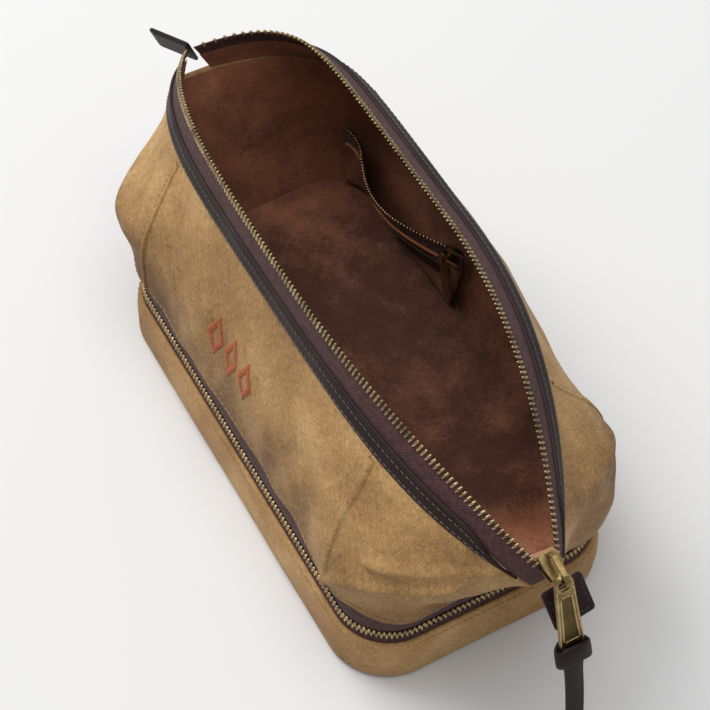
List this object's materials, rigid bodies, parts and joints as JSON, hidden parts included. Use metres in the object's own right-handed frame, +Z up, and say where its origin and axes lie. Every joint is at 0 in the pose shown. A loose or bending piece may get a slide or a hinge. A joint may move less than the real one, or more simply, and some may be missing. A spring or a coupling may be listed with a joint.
{
  "type": "shaving kit bag",
  "caption": "Soft zip-top shaving kit bag with a wide-opening mouth, leather trim, inner zipped pocket and a zipped compartment below",
  "frame": {"origin": "centre of the flat base, on the surface the bag stands on", "axes": "+X along the length towards the main slider, -Y towards the embroidered front, +Z up"},
  "size_m": [0.3963, 0.1473, 0.1432],
  "materials": {
    "waxed_canvas": "waxed cotton canvas with soft creases",
    "lining": "plain woven cotton lining",
    "zip_tape": "herringbone woven tape",
    "dark_leather": "smooth full-grain leather, satin",
    "motif_thread": "satin-stitch embroidery thread",
    "zip_teeth": "antique brass",
    "aged_brass": "antique brass, rubbed bright on the edges"
  },
  "bodies": {
    "tray": {"base_board": "lining", "base_panel": "waxed_canvas", "tray_wall": "waxed_canvas", "tray_lining": "lining", "hinge_tape": "waxed_canvas", "lower_tape_lower": "zip_tape", "lower_teeth_lower": "zip_teeth"},
    "upper_bag": {"divider_floor": "lining", "front_panel": "waxed_canvas", "back_panel": "waxed_canvas", "near_gusset": "waxed_canvas", "far_gusset": "waxed_canvas", "main_lining": "lining", "front_seam_near": "waxed_canvas", "front_seam_far": "waxed_canvas", "back_seam_near": "waxed_canvas", "back_seam_far": "waxed_canvas", "lower_tape_upper": "zip_tape", "lower_teeth_upper": "zip_teeth", "stitched_motif": "motif_thread", "near_end_tab": "dark_leather", "far_end_tab": "dark_leather", "pocket_panel": "lining", "pocket_tape": "zip_tape", "pocket_teeth": "zip_teeth", "pocket_strip": "dark_leather"},
    "front_rim": {"front_trim": "dark_leather", "front_tape": "zip_tape", "front_teeth": "zip_teeth"},
    "back_rim": {"back_trim": "dark_leather", "back_tape": "zip_tape", "back_teeth": "zip_teeth"},
    "main_slider": {"main_slider": "aged_brass"},
    "main_pull": {"main_pull": "aged_brass"},
    "pull_strap": {"pull_strap": "dark_leather"},
    "lower_slider": {"lower_slider": "aged_brass"},
    "lower_pull": {"lower_pull": "aged_brass"},
    "pocket_slider": {"pocket_slider": "aged_brass"},
    "pocket_pull": {"pocket_pull": "aged_brass"}
  },
  "joints": [
    {"name": "compartment_hinge", "type": "hinge", "parent": "tray", "child": "upper_bag", "pos_m": [0, 0.0677, 0.033], "axis": [-1, 0, 0], "range_deg": [0, 105]},
    {"name": "front_rim_swing", "type": "hinge", "parent": "upper_bag", "child": "front_rim", "pos_m": [0, 0, 0.11], "axis": [-1, 0, 0], "range_deg": [0, 22]},
    {"name": "back_rim_swing", "type": "hinge", "parent": "upper_bag", "child": "back_rim", "pos_m": [0, 0, 0.11], "axis": [1, 0, 0], "range_deg": [0, 38]},
    {"name": "main_slider_slide", "type": "slide", "parent": "upper_bag", "child": "main_slider", "axis": [-0.9397, 0, 0.342], "range_m": [0, 0.0025]},
    {"name": "main_pull_swing", "type": "hinge", "parent": "main_slider", "child": "main_pull", "pos_m": [0.17011, 0, 0.11255], "axis": [0, -1, 0], "range_deg": [0, 38]},
    {"name": "strap_swing", "type": "hinge", "parent": "main_pull", "child": "pull_strap", "pos_m": [0.18423, 0, 0.07759], "axis": [0, -1, 0], "range_deg": [-20, 20]},
    {"name": "lower_slider_slide", "type": "slide", "parent": "tray", "child": "lower_slider", "axis": [0, -1, 0], "range_m": [0, 0.06]},
    {"name": "lower_pull_swing", "type": "hinge", "parent": "lower_slider", "child": "lower_pull", "pos_m": [-0.1306, 0.034, 0.0354], "axis": [1, 0, 0], "range_deg": [-60, 60]},
    {"name": "pocket_slider_slide", "type": "slide", "parent": "upper_bag", "child": "pocket_slider", "axis": [-0.8954, -0.4453, 0], "range_m": [0, 0.0025]},
    {"name": "pocket_pull_swing", "type": "hinge", "parent": "pocket_slider", "child": "pocket_pull", "pos_m": [-0.0301, 0.06279, 0.0676], "axis": [0, -1, 0], "range_deg": [0, 60]}
  ],
  "couplings": [
    {"joint": "back_rim_swing", "follows": "front_rim_swing", "ratio": 1.7272}
  ]
}
